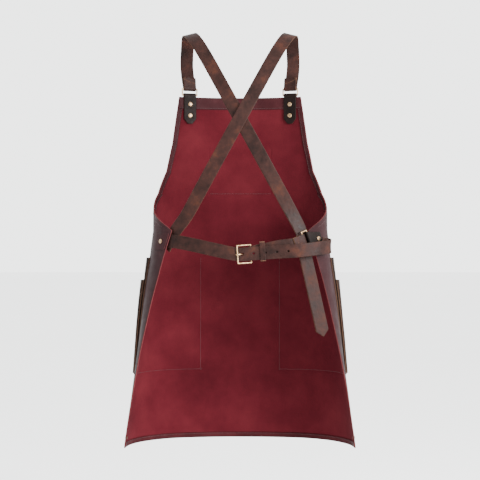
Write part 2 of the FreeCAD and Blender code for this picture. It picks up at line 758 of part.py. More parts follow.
def hip_tab_wire(z):
    edge = HipEdge(z)
    leather = size("tab_thickness")
    outside = edge.face(TAB_OUT + TAB_HALF + leather)
    outside_back = edge.face(TAB_OUT + TAB_HALF)
    inside_back = edge.face(TAB_OUT - TAB_HALF)
    inside = edge.face(TAB_OUT - TAB_HALF - leather)
    return Part.Wire([
        spline(outside), edge.arc(TAB_HALF + leather), spline(inside[::-1]), line(inside[0], inside_back[0]),
        spline(inside_back), edge.arc(TAB_HALF), spline(outside_back[::-1]), 
        line(outside_back[0], outside[0])])


hip_low = hip_level - size("hip_tab_height") / 2
hip_high = hip_level + size("hip_tab_height") / 2
hip_tab = Part.makeLoft([hip_tab_wire(z) for z in (hip_low, hip_level, hip_high)], True, False)
hip_edge = HipEdge(hip_level)
hip_bar = hip_edge.bar()
hip_axis = (HipEdge(hip_high).bar() - HipEdge(hip_low).bar()).normalize()
hip_placement = axes_placement(hip_bar, hip_axis, hip_edge.ahead)
bar_frame("hip_ring", "hip_ring_length", "ring_pitch", "ring_bar_radius", hip_placement)
hip_grip = 2 * (TAB_HALF + size("tab_thickness") + size("cap_gap"))
hip_rivet_along = hip_edge.section.edge - size("hip_rivet_inset")
hip_rivet_axis = hip_edge.section.normal(hip_rivet_along)
hip_rivet_middle = hip_edge.section.point(hip_rivet_along, TAB_OUT)
hip_rivet = rivet(hip_rivet_middle, hip_rivet_axis, hip_grip)
hip_tab = hip_tab.cut(rivet_hole(hip_rivet_middle, hip_rivet_axis, hip_grip))
panel_holes.append(rivet_hole(hip_rivet_middle, hip_rivet_axis, hip_grip))


# ---------------------------------------------------------------- buckle: frame, prong, straps, keeper
HEEL = hip_point(size("heel_across"), size("heel_depth"), -size("heel_drop"))
TILT = math.radians(size("buckle_tilt"))
BELT_AHEAD = Vector(math.cos(TILT), 0, math.sin(TILT))
BELT_UP = Vector(-math.sin(TILT), 0, math.cos(TILT))
BELT_FRONT = -size("belt_ride")


def by_belt(ahead, front, rise=0.0):
    """A point from the heel bar: ahead along the belt, front toward the body (+), rise across the belt."""
    return HEEL + BELT_AHEAD * ahead + Vector(0, front, 0) + BELT_UP * rise


lean = math.asin(size("buckle_lean") / size("buckle_pitch"))
to_toe = BELT_AHEAD * -math.cos(lean) + Vector(0, -math.sin(lean), 0)
buckle_placement = axes_placement(HEEL, BELT_UP, to_toe)
bar_frame("buckle_frame", "buckle_height", "buckle_pitch", "buckle_bar_radius", buckle_placement)

# The prong leaves its eye, bends out through the belt's hole and ends on the toe bar.
prong_hole_ahead = -size("prong_hole_back")
PRONG_RUN = [(-2.3, -0.5), (-9.0, -1.2), (-16.0, -2.8), (-18.8, -5.2),
             (-21.6, -9.7), (-25.5, -13.0), (-33.5, -14.4)]
prong_points = [by_belt(ahead, front) for ahead, front in PRONG_RUN]
prong_side = 2 * size("prong_radius")
prong_bar = ribbon(facing_run(prong_points, [Vector(0, -1, 0)] * len(prong_points)), prong_side, prong_side)
bore = size("buckle_bar_radius") + size("prong_eye_gap")
eye_outer = bore + size("prong_radius")
eye_half = BELT_UP * (size("prong_eye_width") / 2)
prong = cylinder_between(HEEL - eye_half, HEEL + eye_half, eye_outer).fuse(prong_bar)
prong = prong.cut(cylinder_between(HEEL - eye_half * 2, HEEL + eye_half * 2, bore))

# The waist belt: under the left wing, round the back, through the buckle and back on itself at the right hip.
BELT_UNDER_WING = -2.0
belt_points = []
belt_facings = []
for angle, level in ((-120, -470.5), (-134, -470), (-148, -470)):
    place = waist_section.at_angle(math.radians(angle), BELT_UNDER_WING)
    place.z = level + HIP_SHIFT.z
    belt_points.append(place)
    belt_facings.append(Vector(math.sin(math.radians(angle)), math.cos(math.radians(angle)), 0))
for place, facing in (
        (hip_point(-128, -98.5, -473), Vector(-0.4, -0.92, 0)),
        (hip_point(-100, -108.5, -478.5), Vector(-0.25, -0.97, 0)),
        (hip_point(-60, -116, -487.5), Vector(-0.1, -1, 0)),
        (hip_point(-30, -118, -494), Vector(0, -1, 0)),
        (by_belt(-24, BELT_FRONT), Vector(0, -1, 0)),
        (by_belt(0, BELT_FRONT), Vector(0, -1, 0)),
        (by_belt(30, BELT_FRONT), Vector(0, -1, 0)),
        (by_belt(61, BELT_FRONT), Vector(0, -1, 0)),
        (hip_point(110, -118.5, -491.5), Vector(0.05, -1, 0)),
        (hip_point(132, -117, -490), Vector(0.15, -0.98, 0)),
        (hip_point(152, -111.5, -488), Vector(0.35, -0.93, 0)),
        (hip_point(172.6, -103, -485.5), Vector(0.55, -0.83, 0)),
        (hip_point(188.6, -90, -483.5), Vector(0.68, -0.73, 0))):
    belt_points.append(place)
    belt_facings.append(facing)
TURN_RADIUS = 6.0
turn_centre = hip_point(195.4, -72.5, -482)
for step in range(7):
    turn = math.radians(-45 + 30 * step)
    facing = Vector(math.cos(turn), math.sin(turn), 0)
    belt_points.append(turn_centre + facing * TURN_RADIUS + UP * step)
    belt_facings.append(facing)
for place in (hip_point(186.6, -75.9, -475.5), Vector(181.8, -80.9, -475.5)):
    belt_points.append(place)
    belt_facings.append(Vector(-0.71, 0.71, 0))
belt = ribbon(facing_run(belt_points, belt_facings), STRAP_WIDTH, STRAP_THICK)


def oblong_hole(ahead, length, height):
    """A punched hole through the belt, longer along it than across."""
    deep = Vector(0, 1, 0)
    corner = by_belt(ahead - (length - height) / 2, BELT_FRONT - STRAP_THICK, -height / 2)
    middle = Part.makeBox(length - height, 2 * STRAP_THICK, height)
    middle.Placement = FreeCAD.Placement(corner, FreeCAD.Rotation(BELT_AHEAD, deep, BELT_UP, "XYZ"))
    for sign in (-1, 1):
        end = by_belt(ahead + sign * (length - height) / 2, BELT_FRONT - STRAP_THICK)
        middle = middle.fuse(Part.makeCylinder(height / 2, 2 * STRAP_THICK, end, deep))
    return middle


HOLES = 5
for number in range(HOLES):
    used = number == 0
    length = size("prong_hole_length") if used else size("hole_length")
    height = size("prong_hole_height") if used else size("hole_height")
    belt = belt.cut(oblong_hole(prong_hole_ahead + number * size("hole_pitch"), length, height))

# The buckle strap: folded round the heel bar and round the hip ring's free bar.
heel_radius = size("buckle_bar_radius") + size("heel_loop_gap") + STRAP_THICK / 2
fan = size("fan_rise")
heel_start = loop_stations(
    by_belt(0, 0, fan), BELT_AHEAD, Vector(0, 1, 0), BELT_UP * -1, heel_radius, 11.0, 1.5)
# The ring leans with the wing's edge, so the loop is laid out square to the ring's own bars.
ring_ahead = (hip_edge.ahead - hip_axis * hip_edge.ahead.dot(hip_axis)).normalize()
ring_out = ring_ahead.cross(hip_axis)
if ring_out.dot(hip_edge.outward) < 0:
    ring_out = ring_out * -1
hip_free_bar = hip_bar + ring_ahead * RING_PITCH
hip_end = loop_stations(
    hip_free_bar, ring_ahead, ring_out, hip_axis * -1, loop_radius, size("strap_lap"), lap_shift)
run = []
for ahead in (15, 30, 45, 61):
    run.append(by_belt(ahead, -heel_radius, fan + size("fan_slope") * ahead))
main_leg = hip_free_bar - ring_out * loop_radius
run += [hip_point(101, -113, -480), main_leg + ring_ahead * 24, main_leg + ring_ahead * 11]
run_facings = [Vector(0, -1, 0)] * 6 + [ring_out] * 3
middle_stations = facing_run([heel_start[-1][0]] + run + [main_leg], run_facings)[1:-1]
buckle_strap = ribbon(heel_start + middle_stations + hip_end[::-1], STRAP_WIDTH, STRAP_THICK)
slot = Part.makeBox(size("prong_slot_length"), 16, size("prong_slot"))
slot.Placement = FreeCAD.Placement(
    by_belt(-size("prong_slot_length") / 2, -8, -size("prong_slot") / 2),
    FreeCAD.Rotation(BELT_AHEAD, Vector(0, 1, 0), BELT_UP, "XYZ"))
buckle_strap = buckle_strap.cut(slot)

# The keeper: a flat leather loop round the belt and the buckle strap, free to slide.
keeper_ahead = size("keeper_across")
keeper_front = BELT_FRONT - STRAP_THICK / 2 - size("keeper_gap")
keeper_back = -heel_radius + STRAP_THICK / 2 + size("keeper_gap")
keeper_low = -STRAP_WIDTH / 2 - size("keeper_side_gap")
keeper_high = STRAP_WIDTH / 2 + fan + size("fan_slope") * (keeper_ahead + 8) + size("keeper_side_gap")
wall = size("keeper_thickness")
keeper = doc.addObject("PartDesign::Body", "belt_keeper")
keeper_sketch = body_sketch(keeper, "belt_keeper_loop", "YZ_Plane")
for number, (alias, value) in enumerate((
        ("keeper_front", keeper_front), ("keeper_back", keeper_back), ("keeper_low", keeper_low),
        ("keeper_high", keeper_high))):
    row = len(SIZES) + 2 + number
    sheet.set("A%d" % row, alias)
    sheet.set("B%d" % row, str(value))
    sheet.setAlias("B%d" % row, alias)
doc.recompute()
for grow, text in ((0, ""), (wall, " %s dims.keeper_thickness")):
    less = text % "-" if text else ""
    more = text % "+" if text else ""
    closed_outline(keeper_sketch, [
        (keeper_front - grow, "dims.keeper_front" + less, keeper_low - grow, "dims.keeper_low" + less),
        (keeper_back + grow, "dims.keeper_back" + more, keeper_low - grow, "dims.keeper_low" + less),
        (keeper_back + grow, "dims.keeper_back" + more, keeper_high + grow, "dims.keeper_high" + more),
        (keeper_front - grow, "dims.keeper_front" + less, keeper_high + grow, "dims.keeper_high" + more),
    ])
keeper_pad = keeper.newObject("PartDesign::Pad", "belt_keeper_leather")
keeper_pad.Profile = keeper_sketch
keeper_pad.setExpression("Length", "dims.keeper_width")
keeper_pad.Midplane = True
keeper.Tip = keeper_pad
keeper.Placement = axes_placement(by_belt(keeper_ahead, 0), BELT_AHEAD, BELT_UP)
keeper.Label = "belt_keeper"
pieces["belt_keeper"] = keeper


# ---------------------------------------------------------------- left hip: patch and rivet
def from_left_edge(inset):
    return lambda section: inset - section.edge


patch_middle = HIP_SHIFT.z - size("hip_patch_drop")
patch_levels = levels_between(
    patch_middle - size("hip_patch_height") / 2, patch_middle + size("hip_patch_height") / 2, 3)
patch_inset = size("hip_patch_inset")
patch_front = THICK + GAP + size("hip_patch_thickness")
hip_patch = curved_sheet(
    patch_levels, from_left_edge(patch_inset), from_left_edge(patch_inset + size("hip_patch_length")),
    constant(THICK + GAP), constant(patch_front), 9)
left_angle = math.radians(-size("left_hip_rivet_angle"))
patch_section = Section(patch_middle)
left_along = -patch_section.length_at(-left_angle)
left_axis = patch_section.normal(left_along)
# The strap is flat and the wing is round, so the inner cap seats clear of the strap's edges.
STRAP_BOW = 2.6
left_low = HIP_STRAP_OUT - STRAP_THICK / 2 - STRAP_BOW
left_high = patch_front + size("cap_gap")
left_grip = left_high - left_low
left_middle = patch_section.at_angle(left_angle, 0) + left_axis * ((left_high + left_low) / 2)
left_rivet = rivet(left_middle, left_axis, left_grip)
left_hole = rivet_hole(left_middle, left_axis, left_grip)
hip_patch = hip_patch.cut(left_hole)
belt = belt.cut(left_hole)
shoulder_straps["right"] = shoulder_straps["right"].cut(left_hole)
panel_holes.append(left_hole)

# ---------------------------------------------------------------- small rivets in the skirt's lower corners
hem_section = Section(HEM + size("hem_rivet_rise"))
hem_studs = []
for sign in (-1, 1):
    along = sign * (hem_section.edge - size("hem_rivet_inset"))
    middle = hem_section.point(along, THICK / 2)
    axis = hem_section.normal(along)
    hem_studs.append(rivet(middle, axis, THICK + size("cap_gap"), "hem_rivet_cap"))
    panel_holes.append(rivet_hole(middle, axis, THICK * 3))

for hole in panel_holes:
    panel = panel.cut(hole)
    top_facing = top_facing.cut(hole)
for hole in panel_holes:
    if panel.isInside(hole.CenterOfMass, 0.001, True):
        raise RuntimeError("a rivet hole wasn't cut through the panel at %s" % hole.CenterOfMass)

add_feature("front_panel", panel)
add_feature("top_facing", top_facing)
add_feature("bottom_facing", bottom_facing)
for side in ("left", "right"):
    add_feature(side + "_side_facing", side_facing[side])
    add_feature(side + "_tab_rivets", tab_rivets[side])
    add_feature(side + "_shoulder_strap", shoulder_straps[side])
for label, shape in pocket_shapes.items():
    add_feature(label, shape)
add_feature("right_hip_tab", hip_tab)
add_feature("right_hip_rivet", hip_rivet)
add_feature("left_hip_patch", hip_patch)
add_feature("left_hip_rivet", left_rivet)
add_feature("waist_belt", belt)
add_feature("buckle_strap", buckle_strap)
add_feature("buckle_prong", prong)
add_feature("hem_rivets", Part.makeCompound(hem_studs))

doc.recompute()
for item in doc.Objects:
    if "Invalid" in item.State or "Error" in item.State:
        raise RuntimeError("%s did not build: %s" % (item.Label, item.State))
for label, piece in pieces.items():
    shape = piece.Shape
    if shape.isNull() or not shape.isValid() or not shape.Solids:
        raise RuntimeError("%s has no valid solid" % label)
    shape.exportStep("parts/%s.step" % label)
    print("%-22s %d solids %9.0f mm3" % (label, len(shape.Solids), shape.Volume))
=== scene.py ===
import json
import math
import bpy
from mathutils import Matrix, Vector, noise
from mathutils.bvhtree import BVHTree


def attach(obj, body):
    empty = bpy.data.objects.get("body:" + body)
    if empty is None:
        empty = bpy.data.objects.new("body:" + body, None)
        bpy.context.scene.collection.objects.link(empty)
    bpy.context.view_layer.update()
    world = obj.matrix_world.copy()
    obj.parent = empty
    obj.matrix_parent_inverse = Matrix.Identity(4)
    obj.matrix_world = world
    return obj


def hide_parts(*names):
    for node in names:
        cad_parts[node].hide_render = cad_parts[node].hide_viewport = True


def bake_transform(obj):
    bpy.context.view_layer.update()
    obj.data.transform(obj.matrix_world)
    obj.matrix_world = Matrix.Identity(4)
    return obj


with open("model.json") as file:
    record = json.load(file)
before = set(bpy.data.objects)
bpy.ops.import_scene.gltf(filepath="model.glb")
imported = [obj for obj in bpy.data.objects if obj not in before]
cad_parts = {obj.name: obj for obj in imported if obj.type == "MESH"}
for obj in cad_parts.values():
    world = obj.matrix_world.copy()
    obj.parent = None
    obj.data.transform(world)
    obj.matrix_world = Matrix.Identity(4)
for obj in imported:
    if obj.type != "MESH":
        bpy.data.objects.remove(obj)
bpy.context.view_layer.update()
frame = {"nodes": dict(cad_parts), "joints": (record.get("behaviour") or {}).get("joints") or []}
MM = 0.001

# ------------------------------------------------------------------ the solids' sizes, in millimetres
BIB_TOP = -132.0
WAIST = -446.0
HEM = -931.5
THICK = 2.0
FRONT_DEPTH = 112.0
CHEST_RADIUS = 330.0
HEM_RADIUS = 600.0
CHEST_ANGLE = 25.0
HEM_ANGLE = 12.0
WAIST_HALF_WIDTH = 196.0
HEM_HALF_WIDTH = 257.0
BIB_WRAP = 26.5
WAIST_WRAP = 148.0
HEM_WRAP = 90.0
FACING_OUT = -0.25
FACING_THICK = 1.3
BAND = 12.0
TOP_BAND = 28.0
# The armhole's curve: share of the bib's height, and how much of the wrap is left there.
ARMHOLE = [(0.0, 1.0), (0.03, 0.93), (0.09, 0.76), (0.17, 0.52), (0.27, 0.33),
           (0.44, 0.17), (0.65, 0.086), (1.0, 0.0)]
POCKET_START = 91.0
POCKET_END = 284.0
POCKET_FLOOR = -773.0
POCKET_MOUTH = -507.0
TOOL_START = 117.0
TOOL_END = 283.0
TOOL_MOUTH = -558.0
CHEST_HALF = 73.0
CHEST_FLOOR = -361.0
CHEST_MOUTH = -251.0
POCKET_THICK = 1.8
POCKET_GAP = 0.1
EDGE_GAP = 3.4
BULGE = 6.0
STRAP_THICK = 2.8
STRAP_WIDTH = 30.0
TAIL_SLANT = Vector((38.6, 0, -172))


def mix(low, high, share):
    """The value at that share of the way from low to high."""
    return low + (high - low) * share


def clamp(value, low=0.0, high=1.0):
    """The value, kept between low and high."""
    return min(max(value, low), high)


def smooth(value):
    """An S-shaped rise from 0 to 1, flat at both ends."""
    value = clamp(value)
    return value * value * (3 - 2 * value)


def armhole_share(share):
    """Share of the wrap that is left, straight between the curve's points as in the solids."""
    for (below, wide), (above, narrow) in zip(ARMHOLE, ARMHOLE[1:]):
        if share <= above:
            return mix(wide, narrow, (share - below) / (above - below))
    return 0.0


class Section:
    """The panel's inner face at one level: a front arc and two side arcs."""

    def __init__(self, z):
        self.z = z
        down = clamp((WAIST - z) / (WAIST - HEM))
        self.radius = mix(CHEST_RADIUS, HEM_RADIUS, down)
        self.angle = math.radians(mix(CHEST_ANGLE, HEM_ANGLE, down))
        half_width = mix(WAIST_HALF_WIDTH, HEM_HALF_WIDTH, down)
        reach = math.sin(self.angle)
        self.side_radius = (half_width - self.radius * reach) / (1 - reach)
        self.side_x = (self.radius - self.side_radius) * reach
        self.front_y = FRONT_DEPTH - self.radius
        self.side_y = self.front_y + (self.radius - self.side_radius) * math.cos(self.angle)
        if z > WAIST:
            left = armhole_share((z - WAIST) / (BIB_TOP - WAIST))
            wrap = mix(BIB_WRAP, WAIST_WRAP, left)
        else:
            wrap = mix(WAIST_WRAP, HEM_WRAP, 1.2 * down - 0.2 * down * down)
        self.wrap = math.radians(wrap)
        front = self.radius * min(self.wrap, self.angle)
        self.edge = front + self.side_radius * max(self.wrap - self.angle, 0.0)

    def angle_at(self, along):
        """The outward direction's turn from +Y, that far along the face from the centre line."""
        front = self.radius * self.angle
        if abs(along) <= front:
            return along / self.radius
        return math.copysign(self.angle + (abs(along) - front) / self.side_radius, along)

    def point(self, along, out):
        """A point in metres, that far from the centre line and that far outside the inner face."""
        angle = self.angle_at(along)
        if abs(angle) <= self.angle:
            radius = self.radius + out
            return Vector((radius * math.sin(angle), self.front_y + radius * math.cos(angle), self.z)) * MM
        radius = self.side_radius + out
        side = math.copysign(self.side_x, angle)
        return Vector((side + radius * math.sin(angle), self.side_y + radius * math.cos(angle), self.z)) * MM

    def outward(self, along):
        """The unit vector out of the panel there."""
        angle = self.angle_at(along)
        return Vector((math.sin(angle), math.cos(angle), 0))


SECTIONS = {}


def section(z):
    """The section at a level, worked out once."""
    key = round(z, 3)
    if key not in SECTIONS:
        SECTIONS[key] = Section(z)
    return SECTIONS[key]


def drape(along, z):
    """How far the hanging leather stands off its even curve: long soft folds, none by the hardware."""
    low = noise.noise(Vector((along * 0.011, z * 0.0035, 3.1)))
    fine = noise.noise(Vector((along * 0.028, z * 0.011, 9.7)))
    hardware = smooth((-215.0 - z) / 70.0)
    wings = smooth((330.0 - abs(along)) / 60.0) if -540.0 < z < -380.0 else 1.0
    hem = mix(1.0, 0.4, smooth((HEM + 60.0 - z) / 60.0))
    return (2.0 * low + 0.7 * fine) * hardware * wings * hem


# ------------------------------------------------------------------ meshes
def new_object(name, points, faces, marks, materials, body="apron", slot=None):
    """A smooth mesh object; marks gives each face's material, and body the piece it rides on."""
    mesh = bpy.data.meshes.new(name)
    mesh.from_pydata([tuple(p) for p in points], [], faces)
    for material in materials:
        mesh.materials.append(material)
    mesh.polygons.foreach_set("material_index", marks)
    mesh.polygons.foreach_set("use_smooth", [True] * len(faces))
    mesh.update()
    obj = bpy.data.objects.new(name, mesh)
    bpy.context.scene.collection.objects.link(obj)
    if body:
        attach(obj, body)
    return obj


def thick_sheet(columns, rows, place, inner, outer):
    """Points and faces of a closed sheet; place(i, j, out) gives a point, inner and outer its two offsets."""
    points = []
    for offset in (inner, outer):
        for j in range(rows + 1):
            for i in range(columns + 1):
                points.append(place(i / columns, j / rows, offset(i / columns, j / rows)))
    layer = (columns + 1) * (rows + 1)
    faces = []
    marks = []

    def at(i, j, k):
        return k * layer + j * (columns + 1) + i

    for j in range(rows):
        for i in range(columns):
            faces.append((at(i, j, 0), at(i + 1, j, 0), at(i + 1, j + 1, 0), at(i, j + 1, 0)))
            marks.append(0)
            faces.append((at(i, j + 1, 1), at(i + 1, j + 1, 1), at(i + 1, j, 1), at(i, j, 1)))
            marks.append(1)
    for i in range(columns):
        faces.append((at(i, 0, 1), at(i + 1, 0, 1), at(i + 1, 0, 0), at(i, 0, 0)))
        faces.append((at(i, rows, 0), at(i + 1, rows, 0), at(i + 1, rows, 1), at(i, rows, 1)))
        marks += [2, 2]
    for j in range(rows):
        faces.append((at(0, j, 0), at(0, j + 1, 0), at(0, j + 1, 1), at(0, j, 1)))
        faces.append((at(columns, j, 1), at(columns, j + 1, 1), at(columns, j + 1, 0), at(columns, j, 0)))
        marks += [2, 2]
    return points, faces, marks


STITCH = 2.6
STITCH_GAP = 1.3
THREAD_WIDTH = 0.75
THREAD_LIFT = 0.22
# One stitch: share of its length, and how much of the thread's width is there.
DASH = [(-0.5, 0.35), (-0.3, 1.0), (0.0, 1.12), (0.3, 1.0), (0.5, 0.35)]
SIDES = 6


def stitch_run(name, pairs, material):
    """Thread along a line of (point, outward) in metres: short rounded dashes that lie on the leather."""
    points = []
    faces = []
    step = (STITCH + STITCH_GAP) * MM
    travelled = 0.0
    due = step / 2
    for (a, na), (b, nb) in zip(pairs, pairs[1:]):
        span = (b - a).length
        while span > 0 and due <= travelled + span:
            share = (due - travelled) / span
            middle = a.lerp(b, share)
            up = na.lerp(nb, share).normalized()
            ahead = (b - a).normalized()
            side = ahead.cross(up).normalized()
            first = len(points)
            for reach, swell in DASH:
                for k in range(SIDES):
                    turn = math.tau * k / SIDES
                    sideways = math.cos(turn) * THREAD_WIDTH / 2
                    raised = math.sin(turn) * THREAD_WIDTH / 2 + THREAD_LIFT
                    offset = side * sideways + up * raised
                    points.append(middle + ahead * (reach * STITCH * MM) + offset * (swell * MM))
            for ring in range(len(DASH) - 1):
                for k in range(SIDES):
                    a0 = first + ring * SIDES + k
                    a1 = first + ring * SIDES + (k + 1) % SIDES
                    faces.append((a0, a1, a1 + SIDES, a0 + SIDES))
            last_ring = first + (len(DASH) - 1) * SIDES
            faces.append(tuple(first + k for k in range(SIDES - 1, -1, -1)))
            faces.append(tuple(last_ring + k for k in range(SIDES)))
            due += step
        travelled += span
    return new_object(name, points, faces, [0] * len(faces), [material])


# ------------------------------------------------------------------ materials
def nodes_of(name):
    """A new material, its node tree, its shader and the object's own coordinates."""
    material = bpy.data.materials.new(name)
    material.use_nodes = True
    tree = material.node_tree
    shader = tree.nodes["Principled BSDF"]
    where = tree.nodes.new("ShaderNodeTexCoord").outputs["Object"]
    return material, tree, shader, where


def noise_node(tree, where, scale, detail=4.0, rough=0.6):
    """Cloudy noise, from 0 to 1."""
    node = tree.nodes.new("ShaderNodeTexNoise")
    node.inputs["Scale"].default_value = scale
    node.inputs["Detail"].default_value = detail
    node.inputs["Roughness"].default_value = rough
    tree.links.new(where, node.inputs["Vector"])
    return node.outputs["Fac"]


def ramp(tree, value, stops):
    """Colours picked by a value, from (place, colour) stops."""
    node = tree.nodes.new("ShaderNodeValToRGB")
    band = node.color_ramp
    while len(band.elements) < len(stops):
        band.elements.new(0.5)
    for element, (place, colour) in zip(band.elements, stops):
        element.position = place
        element.color = (*colour, 1.0) if len(colour) == 3 else colour
    tree.links.new(value, node.inputs["Fac"])
    return node.outputs["Color"]


def grey(value):
    """A colour with no hue."""
    return (value, value, value)


def dim(stops, factor):
    """The same colours, darker, so that leather sits right under the studio's bright surround."""
    return [(place, tuple(channel * factor for channel in colour)) for place, colour in stops]


def multiply_colours(tree, factor, one, other):
    """One colour multiplied by another, by that factor."""
    node = tree.nodes.new("ShaderNodeMix")
    node.data_type = "RGBA"
    node.blend_type = "MULTIPLY"
    tree.links.new(factor, node.inputs["Factor"])
    tree.links.new(one, node.inputs["A"])
    tree.links.new(other, node.inputs["B"])
    return node.outputs["Result"]


def bumps(tree, shader, layers):
    """A chain of bump nodes from (height, strength, distance in metres)."""
    last = None
    for height, strength, distance in layers:
        node = tree.nodes.new("ShaderNodeBump")
        node.inputs["Strength"].default_value = strength
        node.inputs["Distance"].default_value = distance
        tree.links.new(height, node.inputs["Height"])
        if last:
            tree.links.new(last, node.inputs["Normal"])
        last = node.outputs["Normal"]
    tree.links.new(last, shader.inputs["Normal"])


def voronoi(tree, where, scale):
    """Pebbles: the distance to the nearest gap between cells."""
    node = tree.nodes.new("ShaderNodeTexVoronoi")
    node.feature = "DISTANCE_TO_EDGE"
    node.inputs["Scale"].default_value = scale
    tree.links.new(where, node.inputs["Vector"])
    return node.outputs["Distance"]


def suede():
    """Napped flesh side: matt, clouded, with faint brushed patches."""
    material, tree, shader, where = nodes_of("burgundy_suede")
    clouds = noise_node(tree, where, 7.0, 6.0, 0.62)
    reds = [(0.28, (0.039, 0.0036, 0.0062)), (0.5, (0.060, 0.0058, 0.0095)), (0.74, (0.084, 0.0095, 0.0138))]
    base = ramp(tree, clouds, dim(reds, 0.66))
    nap = noise_node(tree, where, 900.0, 3.0, 0.7)
    speck = ramp(tree, nap, [(0.3, grey(0.72)), (0.7, grey(1.0))])
    colour = multiply_colours(tree, noise_node(tree, where, 60.0), base, speck)
    tree.links.new(colour, shader.inputs["Base Color"])
    rough = ramp(tree, clouds, [(0.3, grey(0.97)), (0.7, grey(0.84))])
    tree.links.new(rough, shader.inputs["Roughness"])
    shader.inputs["Specular IOR Level"].default_value = 0.03
    shader.inputs["Sheen Weight"].default_value = 0.02
    shader.inputs["Sheen Tint"].default_value = (0.75, 0.3, 0.33, 1.0)
    bumps(tree, shader, [(noise_node(tree, where, 34.0, 5.0), 0.35, 0.0012), (nap, 0.5, 0.0003)])
    return material


def grain(name, low, middle, high, gloss, pebble=620.0, patch=9.0):
    """Grain side: pebbled, with worn patches that differ in tone and gloss."""
    material, tree, shader, where = nodes_of(name)
    patches = noise_node(tree, where, patch, 7.0, 0.66)
    tones = dim([(0.3, low), (0.52, middle), (0.72, high)], 0.46)
    tree.links.new(ramp(tree, patches, tones), shader.inputs["Base Color"])
    wear = noise_node(tree, where, patch * 3.5, 5.0, 0.7)
    rough = ramp(tree, wear, [(0.3, grey(gloss + 0.22)), (0.7, grey(gloss))])
    tree.links.new(rough, shader.inputs["Roughness"])
    shader.inputs["Specular IOR Level"].default_value = 0.06
    cells = voronoi(tree, where, pebble)
    bumps(tree, shader, [(wear, 0.3, 0.0008), (cells, 0.4, 0.00025)])
    return material


def pull_up():
    """Waxed strap leather: brown, with rusty pulls, dark handling marks, scratches, and painted sheen as
    greyish, lighter patches.
    """
    material, tree, shader, where = nodes_of("strap_pull_up")
    patches = noise_node(tree, where, 26.0, 8.0, 0.7)
    # The leather's own browns, rust and dark handling marks in random patches; the last, greyish stop is
    # painted sheen.
    base = ramp(tree, patches, dim([
        (0.26, (0.006, 0.0035, 0.0028)), (0.42, (0.021, 0.0078, 0.0060)), (0.55, (0.036, 0.0130, 0.0100)),
        (0.68, (0.066, 0.0210, 0.0120)), (0.82, (0.058, 0.0330, 0.0260))], 0.50))
    # Grey multiplier from noise: its lighter patches are painted sheen, its darker ones random tone.
    painted_sheen = ramp(tree, noise_node(tree, where, 75.0, 6.0, 0.75), [(0.35, grey(0.62)), (0.7, grey(1.12))])
    colour = multiply_colours(tree, noise_node(tree, where, 18.0), base, painted_sheen)
    tree.links.new(colour, shader.inputs["Base Color"])
    tree.links.new(ramp(tree, patches, [(0.3, grey(0.38)), (0.7, grey(0.66))]), shader.inputs["Roughness"])
    shader.inputs["Specular IOR Level"].default_value = 0.07
    scratches = noise_node(tree, where, 120.0, 6.0, 0.7)
    bumps(tree, shader, [(scratches, 0.45, 0.0008), (voronoi(tree, where, 700.0), 0.35, 0.00022)])
    return material


def raw_edge(name, low, high):
    """A cut edge: paler fibre, streaked and dry."""
    material, tree, shader, where = nodes_of(name)
    fibres = noise_node(tree, where, 420.0, 6.0, 0.75)
    tree.links.new(ramp(tree, fibres, dim([(0.3, low), (0.72, high)], 0.6)), shader.inputs["Base Color"])
    tree.links.new(ramp(tree, fibres, [(0.3, grey(0.95)), (0.7, grey(0.75))]), shader.inputs["Roughness"])
    shader.inputs["Specular IOR Level"].default_value = 0.04
    bumps(tree, shader, [(fibres, 0.6, 0.0004)])
    return material


def antique_brass(name, low, high, rough):
    """Cast metal, tarnished in patches that are also duller."""
    material, tree, shader, where = nodes_of(name)
    tarnish = noise_node(tree, where, 170.0, 7.0, 0.7)
    tree.links.new(ramp(tree, tarnish, [(0.32, low), (0.6, high)]), shader.inputs["Base Color"])
    polish = ramp(tree, tarnish, [(0.35, grey(rough + 0.25)), (0.7, grey(rough))])
    tree.links.new(polish, shader.inputs["Roughness"])
    shader.inputs["Metallic"].default_value = 1.0
    bumps(tree, shader, [(noise_node(tree, where, 900.0, 4.0), 0.25, 0.00012)])
    return material


def thread(name, low, high):
    """Twisted thread: diagonal strands, smoother on top, with painted shade in the grooves and a painted
    highlight on the crests.
    """
    material, tree, shader, where = nodes_of(name)
    twist = tree.nodes.new("ShaderNodeTexWave")
    twist.inputs["Scale"].default_value = 900.0
    twist.inputs["Distortion"].default_value = 1.5
    twist.bands_direction = "DIAGONAL"
    tree.links.new(where, twist.inputs["Vector"])
    strands = twist.outputs["Fac"]
    # Colour follows the strands' height: the darker grooves are painted shade, the lighter crests a painted
    # highlight.
    tree.links.new(ramp(tree, strands, [(0.2, low), (0.8, high)]), shader.inputs["Base Color"])
    tree.links.new(ramp(tree, strands, [(0.2, grey(0.7)), (0.8, grey(0.5))]), shader.inputs["Roughness"])
    bumps(tree, shader, [(strands, 0.5, 0.0002)])
    return material


SUEDE = suede()
PLUM = grain("plum_grain", (0.018, 0.0046, 0.0060), (0.029, 0.0082, 0.0100), (0.047, 0.0155, 0.0180), 0.48)
HEM_FACING = grain("hem_grain", (0.030, 0.0030, 0.0044), (0.046, 0.0050, 0.0072), (0.064, 0.0090, 0.0120),
                   0.60, 700.0, 15.0)
FACING = grain("facing_grain", (0.026, 0.0045, 0.0062), (0.042, 0.0078, 0.0100), (0.064, 0.0150, 0.0180),
               0.50, 700.0, 15.0)
PULL_UP = pull_up()
STRAP_EDGE = raw_edge("strap_raw_edge", (0.055, 0.025, 0.015), (0.15, 0.080, 0.048))
RED_EDGE = raw_edge("panel_raw_edge", (0.070, 0.011, 0.013), (0.160, 0.042, 0.042))
TAB = grain("tab_dark", (0.005, 0.0026, 0.0022), (0.010, 0.0050, 0.0040), (0.020, 0.0105, 0.0084),
            0.45, 650.0, 30.0)
